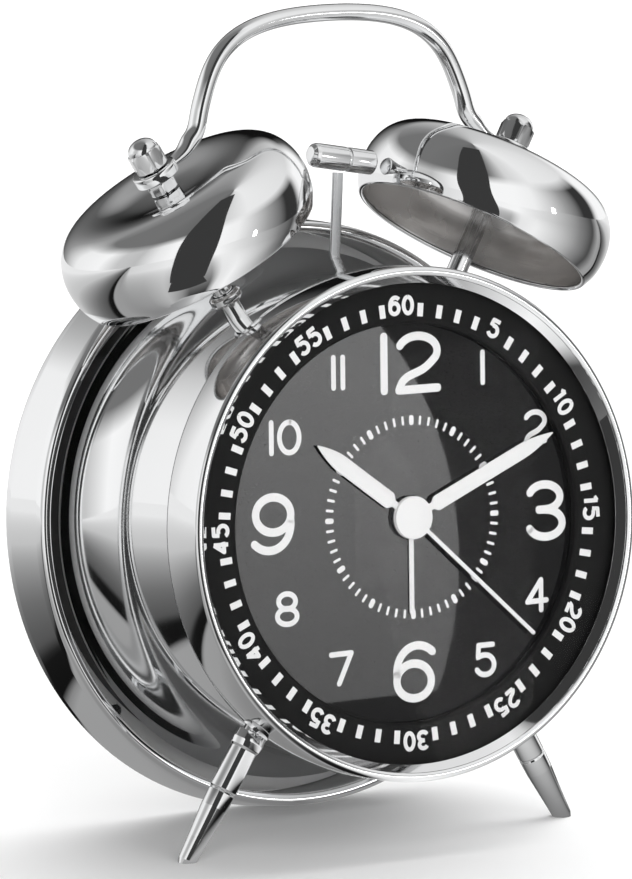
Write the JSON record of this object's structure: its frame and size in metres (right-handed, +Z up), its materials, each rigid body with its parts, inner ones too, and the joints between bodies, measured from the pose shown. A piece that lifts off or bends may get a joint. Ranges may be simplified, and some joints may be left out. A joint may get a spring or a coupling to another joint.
{
  "type": "twin-bell alarm clock",
  "caption": "Round chromed table clock with twin bells, a swinging hammer and a carrying handle above a dial with hands, standing on front legs and its rear rim.",
  "frame": {"origin": "centre of the bounding box at floor level", "axes": "+Z up, +Y towards the back of the clock, +X to the right seen from the front"},
  "size_m": [0.1226, 0.0776, 0.1686],
  "materials": {
    "chrome": "bright chrome plating",
    "steel": "plain zinc-plated steel",
    "brass": "enamelled copper winding on a brass-coloured bobbin",
    "black_plastic": "fine texture, matt black",
    "dial_black": "black print on sheet metal",
    "white_enamel": "white lacquer",
    "clear_glass": "clear flat lens",
    "natural_plastic": "natural moulded plastic",
    "board_green": "solder-mask green laminate",
    "battery_label": "printed sleeve"
  },
  "bodies": {
    "case": {"back_cover": "black_plastic", "battery": "battery_label", "case_drum": "chrome", "channel_floor": "chrome", "circuit_board": "board_green", "contact_plate": "steel", "contact_spring": "steel", "cover_screw_1": "steel", "cover_screw_2": "steel", "cover_screw_3": "steel", "cover_screw_4": "steel", "dial_lamp": "natural_plastic", "dial_plate": "dial_black", "drum_skirt": "black_plastic", "front_bezel": "chrome", "hammer_motor": "steel", "hammer_pin": "steel", "handle": "chrome", "left_acorn_nut": "chrome", "left_bell": "chrome", "left_bell_post": "chrome", "left_leg": "chrome", "left_leg_nut": "steel", "left_post_collar": "chrome", "left_post_nut": "steel", "left_spacer": "chrome", "lens": "clear_glass", "minute_ring": "dial_black", "motor_bracket": "steel", "movement_front_case": "black_plastic", "movement_rear_case": "black_plastic", "rear_rim": "chrome", "right_acorn_nut": "chrome", "right_bell": "chrome", "right_bell_post": "chrome", "right_leg": "chrome", "right_leg_nut": "steel", "right_post_collar": "chrome", "right_post_nut": "steel", "right_spacer": "chrome", "stepper_coil": "brass"},
    "minute_set": {"minute_hand": "white_enamel", "minute_wheel": "natural_plastic"},
    "hour_set": {"hour_hand": "white_enamel", "hour_wheel": "natural_plastic"},
    "second_set": {"second_hand": "white_enamel", "second_wheel": "natural_plastic"},
    "alarm_set": {"alarm_hand": "white_enamel", "alarm_wheel": "natural_plastic"},
    "time_knob": {"time_set_knob": "black_plastic", "time_pinion": "natural_plastic"},
    "alarm_knob": {"alarm_set_knob": "black_plastic", "alarm_pinion": "natural_plastic"},
    "hammer": {"hammer_arm": "steel", "hammer_head": "chrome"},
    "crank": {"crank_disc": "natural_plastic"},
    "switch": {"alarm_switch": "white_enamel"},
    "button": {"light_button": "natural_plastic"},
    "door": {"battery_door": "black_plastic"}
  },
  "joints": [
    {"name": "minute_spin", "type": "hinge", "parent": "case", "child": "minute_set", "pos_m": [0.0018, -0.02924, 0.06783], "axis": [0, 0.9945, -0.1045], "continuous": true},
    {"name": "hour_spin", "type": "hinge", "parent": "case", "child": "hour_set", "pos_m": [0.0018, -0.02924, 0.06783], "axis": [0, 0.9945, -0.1045], "continuous": true},
    {"name": "second_spin", "type": "hinge", "parent": "case", "child": "second_set", "pos_m": [0.0018, -0.02924, 0.06783], "axis": [0, 0.9945, -0.1045], "continuous": true},
    {"name": "alarm_spin", "type": "hinge", "parent": "case", "child": "alarm_set", "pos_m": [0.0018, -0.02924, 0.06783], "axis": [0, 0.9945, -0.1045], "continuous": true},
    {"name": "time_knob_spin", "type": "hinge", "parent": "case", "child": "time_knob", "pos_m": [0.014, 0.03179, 0.07449], "axis": [0, 0.9945, -0.1045], "continuous": true},
    {"name": "alarm_knob_spin", "type": "hinge", "parent": "case", "child": "alarm_knob", "pos_m": [-0.012, 0.03179, 0.07449], "axis": [0, 0.9945, -0.1045], "continuous": true},
    {"name": "hammer_swing", "type": "hinge", "parent": "case", "child": "hammer", "pos_m": [-0.0022, -0.00587, 0.10459], "axis": [0, 0.9945, -0.1045], "range_deg": [-7, 0.5]},
    {"name": "crank_spin", "type": "hinge", "parent": "case", "child": "crank", "pos_m": [-0.0022, -0.00318, 0.09576], "axis": [0, 0.9945, -0.1045], "continuous": true},
    {"name": "switch_slide", "type": "slide", "parent": "case", "child": "switch", "axis": [1, 0, 0], "range_m": [0, 0.005]},
    {"name": "button_press", "type": "slide", "parent": "case", "child": "button", "axis": [0, -0.9945, 0.1045], "range_m": [0, 0.0018], "stiffness_N_per_m": 150},
    {"name": "door_hinge", "type": "hinge", "parent": "case", "child": "door", "pos_m": [0, 0.02714, 0.02551], "axis": [-1, 0, 0], "range_deg": [0, 100]}
  ],
  "couplings": [
    {"joint": "hour_spin", "follows": "minute_spin", "ratio": 0.083333},
    {"joint": "time_knob_spin", "follows": "minute_spin", "ratio": -1},
    {"joint": "alarm_knob_spin", "follows": "alarm_spin", "ratio": -1}
  ]
}
